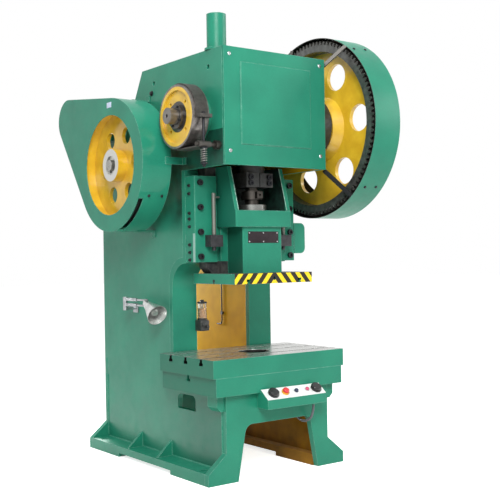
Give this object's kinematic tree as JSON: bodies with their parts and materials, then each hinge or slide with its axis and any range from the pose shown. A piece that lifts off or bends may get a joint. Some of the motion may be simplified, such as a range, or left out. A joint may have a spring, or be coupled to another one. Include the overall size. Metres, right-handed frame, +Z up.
{
  "type": "mechanical stamping press",
  "caption": "Open-back eccentric press with a geared crank, belt-driven flywheel, band brake, guided slide and slotted bolster.",
  "frame": {"origin": "on the floor, in the middle of the four anchor bolts", "axes": "+Z up, -Y towards the operator, +X to the operator's right"},
  "size_m": [1.583, 2.1929, 3.115],
  "materials": {
    "green_paint": "satin green machine enamel",
    "machined_steel": "ground steel with a film of oil",
    "dark_iron": "oiled dark iron",
    "black_steel": "black oxide",
    "yellow_paint": "satin yellow enamel",
    "bronze": "turned bronze",
    "motor_paint": "painted cast housing",
    "belt_rubber": "matt",
    "oiler_plastic": "clear and white",
    "panel_white": "white coated sheet",
    "black_plastic": "gloss",
    "red_plastic": "gloss",
    "conduit_rubber": "ribbed, matt",
    "lamp_metal": "bare and white coated"
  },
  "bodies": {
    "frame": {"left_cheek": "green_paint", "right_cheek": "green_paint", "front_leg_plate": "green_paint", "back_leg_plate": "green_paint", "left_foot": "green_paint", "right_foot": "green_paint", "bed_plate": "green_paint", "bolster_plate": "green_paint", "left_throat_flange": "green_paint", "right_throat_flange": "green_paint", "roof_plate": "green_paint", "front_cover": "green_paint", "web_plate": "green_paint", "rear_plate": "green_paint", "crank_bushes": "bronze", "left_gib": "green_paint", "right_gib": "green_paint", "gib_bolts": "black_steel", "knockout_stops": "dark_iron", "clutch_housing": "dark_iron", "shaft_bearings": "dark_iron", "motor": "motor_paint", "motor_bracket": "green_paint", "drive_belts": "belt_rubber", "gear_guard": "green_paint", "guard_stays": "black_steel", "belt_guard": "green_paint", "brake_band": "dark_iron", "brake_rod": "black_steel", "brake_spring": "black_steel", "brake_anchor": "machined_steel", "lubricator": "oiler_plastic", "lube_pipe": "machined_steel", "control_box": "green_paint", "control_panel": "panel_white", "conduit": "conduit_rubber", "lamp_base": "lamp_metal", "side_box": "green_paint", "head_pipe": "green_paint"},
    "crank": {"crankshaft": "machined_steel", "brake_drum": "yellow_paint"},
    "rod": {"connecting_rod": "dark_iron", "rod_cap": "dark_iron", "rod_bolts": "black_steel"},
    "slide": {"slide": "green_paint", "ball_retainer": "machined_steel", "shank_screw": "black_steel"},
    "screw": {"adjusting_screw": "machined_steel"},
    "gear": {"main_gear": "dark_iron"},
    "shaft": {"drive_shaft": "machined_steel", "flywheel": "yellow_paint", "pinion": "dark_iron"},
    "rotor": {"motor_pulley": "machined_steel"},
    "left_palm": {"palm_button_left": "black_plastic"},
    "right_palm": {"palm_button_right": "black_plastic"},
    "stop": {"emergency_stop": "red_plastic"},
    "run": {"run_button": "black_plastic"},
    "inch": {"inch_button": "red_plastic"},
    "lamp_arm": {"lamp_arm": "lamp_metal"},
    "lamp_shade": {"lamp_shade": "lamp_metal"}
  },
  "joints": [
    {"name": "crank_turn", "type": "hinge", "parent": "frame", "child": "crank", "pos_m": [0, -0.565, 2.425], "axis": [-1, 0, 0], "range_deg": [0, 180]},
    {"name": "slide_stroke", "type": "slide", "parent": "frame", "child": "rod", "axis": [0, 0, 1], "range_m": [-0.13, 0]},
    {"name": "die_height", "type": "slide", "parent": "rod", "child": "slide", "axis": [0, 0, 1], "range_m": [-0.08, 0]},
    {"name": "screw_turn", "type": "hinge", "parent": "slide", "child": "screw", "pos_m": [0, -0.565, 1.914], "axis": [0, 0, 1], "range_deg": [0, 3600]},
    {"name": "gear_spin", "type": "hinge", "parent": "frame", "child": "gear", "pos_m": [0.64, -0.565, 2.425], "axis": [1, 0, 0], "continuous": true},
    {"name": "flywheel_spin", "type": "hinge", "parent": "frame", "child": "shaft", "pos_m": [0, 0.115, 2.15403], "axis": [1, 0, 0], "continuous": true},
    {"name": "motor_spin", "type": "hinge", "parent": "frame", "child": "rotor", "pos_m": [-0.68, 0.773, 2.55], "axis": [1, 0, 0], "continuous": true},
    {"name": "left_palm_press", "type": "slide", "parent": "frame", "child": "left_palm", "axis": [0, 0.6097, -0.7926], "range_m": [0, 0.006], "stiffness_N_per_m": 900, "springref_m": -0.004},
    {"name": "right_palm_press", "type": "slide", "parent": "frame", "child": "right_palm", "axis": [0, 0.6097, -0.7926], "range_m": [0, 0.006], "stiffness_N_per_m": 900, "springref_m": -0.004},
    {"name": "stop_press", "type": "slide", "parent": "frame", "child": "stop", "axis": [0, 0.6097, -0.7926], "range_m": [0, 0.005]},
    {"name": "run_press", "type": "slide", "parent": "frame", "child": "run", "axis": [0, 0.6097, -0.7926], "range_m": [0, 0.003], "stiffness_N_per_m": 400, "springref_m": -0.003},
    {"name": "inch_press", "type": "slide", "parent": "frame", "child": "inch", "axis": [0, 0.6097, -0.7926], "range_m": [0, 0.003], "stiffness_N_per_m": 400, "springref_m": -0.003},
    {"name": "lamp_swing", "type": "hinge", "parent": "frame", "child": "lamp_arm", "pos_m": [-0.535, 0.319, 1.16], "axis": [0, 0, 1], "range_deg": [-90, 0]},
    {"name": "lamp_tilt", "type": "hinge", "parent": "lamp_arm", "child": "lamp_shade", "pos_m": [-0.535, 0.013, 1.16], "axis": [1, 0, 0], "range_deg": [-40, 45]}
  ],
  "couplings": [
    {"joint": "slide_stroke", "follows": "crank_turn", "m_per_rad": -0.04138},
    {"joint": "die_height", "follows": "screw_turn", "m_per_rad": -0.0012732},
    {"joint": "flywheel_spin", "follows": "gear_spin", "ratio": -6.1765},
    {"joint": "motor_spin", "follows": "gear_spin", "ratio": -27.731}
  ]
}
